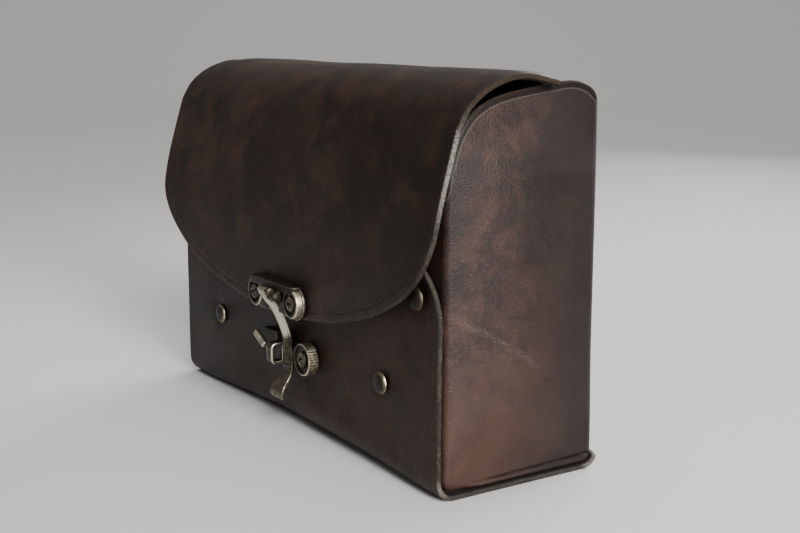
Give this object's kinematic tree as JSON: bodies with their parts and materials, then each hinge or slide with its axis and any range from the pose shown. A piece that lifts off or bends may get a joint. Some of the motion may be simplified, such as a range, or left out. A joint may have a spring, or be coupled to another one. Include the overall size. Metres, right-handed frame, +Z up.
{
  "type": "belt bag",
  "caption": "Small leather belt bag with a wide rounded flap, open-topped side gussets, a curved brass hook clasp that swings off a stud, and belt loops on the back.",
  "frame": {"origin": "on the surface it stands on, under the middle of the bag's box", "axes": "+X across the bag, to the right as seen from the front, -Y out of the front with the clasp, +Z up"},
  "size_m": [0.212, 0.0934, 0.1421],
  "materials": {
    "leather": "dark brown waxed leather with a soft sheen",
    "brass": "antique brass, dark in the recesses and worn bright on the edges"
  },
  "bodies": {
    "bag": {"body_wrap": "leather", "gusset_left": "leather", "gusset_right": "leather", "belt_loop_left": "leather", "belt_loop_right": "leather", "rivet_upper_left": "brass", "rivet_upper_right": "brass", "rivet_lower_left": "brass", "rivet_lower_right": "brass", "clasp_plate": "brass", "clasp_pin": "brass", "staple_plate": "brass", "screw_upper_left": "brass", "screw_upper_right": "brass", "screw_lower": "brass", "loop_rivet_top_left": "brass", "loop_rivet_low_left": "brass", "loop_rivet_top_right": "brass", "loop_rivet_low_right": "brass"},
    "hook": {"clasp_hook": "brass"}
  },
  "joints": [
    {"name": "hook_swing", "type": "hinge", "parent": "bag", "child": "hook", "pos_m": [0, -0.04431, 0.0552], "axis": [-1, 0, 0], "range_deg": [0, 100]}
  ]
}
